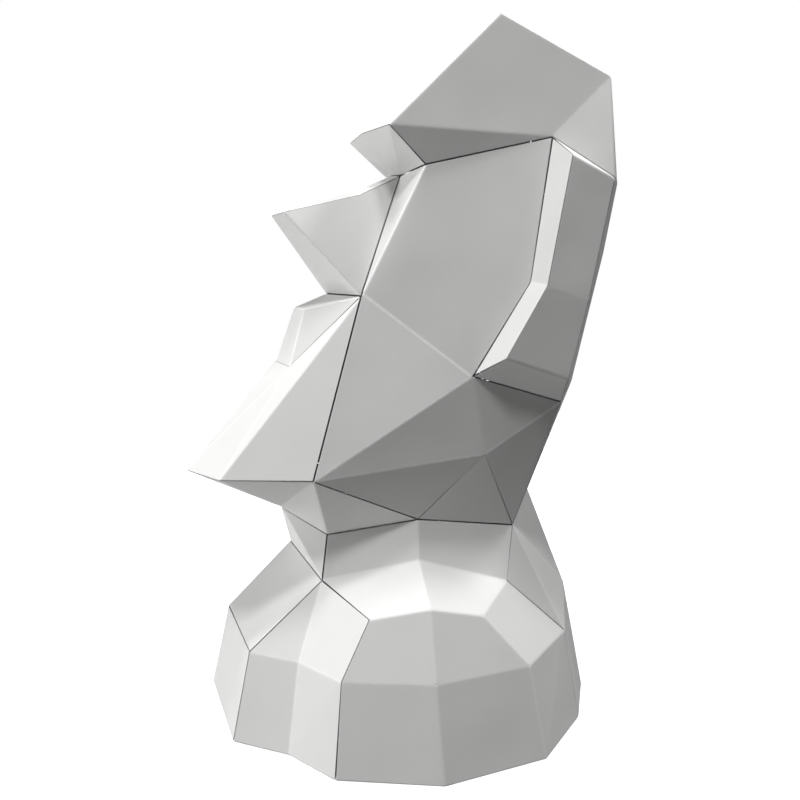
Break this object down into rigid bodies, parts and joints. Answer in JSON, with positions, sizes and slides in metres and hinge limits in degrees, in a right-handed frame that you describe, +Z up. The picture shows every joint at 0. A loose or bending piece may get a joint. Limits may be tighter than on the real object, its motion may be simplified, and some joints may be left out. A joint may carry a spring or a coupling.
{
  "type": "giant chess piece",
  "caption": "Tall low-poly stone-head bust folded from white card on a rounded faceted pedestal, standing as an oversized chess piece.",
  "frame": {"origin": "centre of the bounding box on the ground, under the flat floor of the pedestal", "axes": "+Z up, the face looks towards -Y, +X to the figure's left-hand side; the figure is symmetric about X = 0"},
  "size_m": [0.2458, 0.2897, 0.4669],
  "materials": {
    "back_of_crown": "matte white card, uncoated",
    "back_of_head": "matte white card, uncoated",
    "brow_underside": "matte white card, uncoated",
    "cheek_and_jaw_left": "matte white card, uncoated",
    "cheek_and_jaw_right": "matte white card, uncoated",
    "chin_front": "matte white card, uncoated",
    "crown_shell": "matte white card, uncoated",
    "crown_top": "matte white card, uncoated",
    "ear_front_left": "matte white card, uncoated",
    "ear_front_right": "matte white card, uncoated",
    "ear_side_left": "matte white card, uncoated",
    "ear_side_right": "matte white card, uncoated",
    "floor": "matte white card, uncoated",
    "front_collar": "matte white card, uncoated",
    "front_corner_left": "matte white card, uncoated",
    "front_corner_right": "matte white card, uncoated",
    "front_slope": "matte white card, uncoated",
    "front_wall": "matte white card, uncoated",
    "lips": "matte white card, uncoated",
    "nape": "matte white card, uncoated",
    "neck_side_left": "matte white card, uncoated",
    "neck_side_right": "matte white card, uncoated",
    "nose_body": "matte white card, uncoated",
    "nose_bridge": "matte white card, uncoated",
    "rear_slope": "matte white card, uncoated",
    "rear_wall": "matte white card, uncoated",
    "shoulder_and_wall_left": "matte white card, uncoated",
    "shoulder_and_wall_right": "matte white card, uncoated",
    "throat": "matte white card, uncoated"
  },
  "bodies": {
    "root": {"back_of_crown": "back_of_crown", "back_of_head": "back_of_head", "brow_underside": "brow_underside", "cheek_and_jaw_left": "cheek_and_jaw_left", "cheek_and_jaw_right": "cheek_and_jaw_right", "chin_front": "chin_front", "crown_shell": "crown_shell", "crown_top": "crown_top", "ear_front_left": "ear_front_left", "ear_front_right": "ear_front_right", "ear_side_left": "ear_side_left", "ear_side_right": "ear_side_right", "floor": "floor", "front_collar": "front_collar", "front_corner_left": "front_corner_left", "front_corner_right": "front_corner_right", "front_slope": "front_slope", "front_wall": "front_wall", "lips": "lips", "nape": "nape", "neck_side_left": "neck_side_left", "neck_side_right": "neck_side_right", "nose_body": "nose_body", "nose_bridge": "nose_bridge", "rear_slope": "rear_slope", "rear_wall": "rear_wall", "shoulder_and_wall_left": "shoulder_and_wall_left", "shoulder_and_wall_right": "shoulder_and_wall_right", "throat": "throat"}
  },
  "joints": []
}
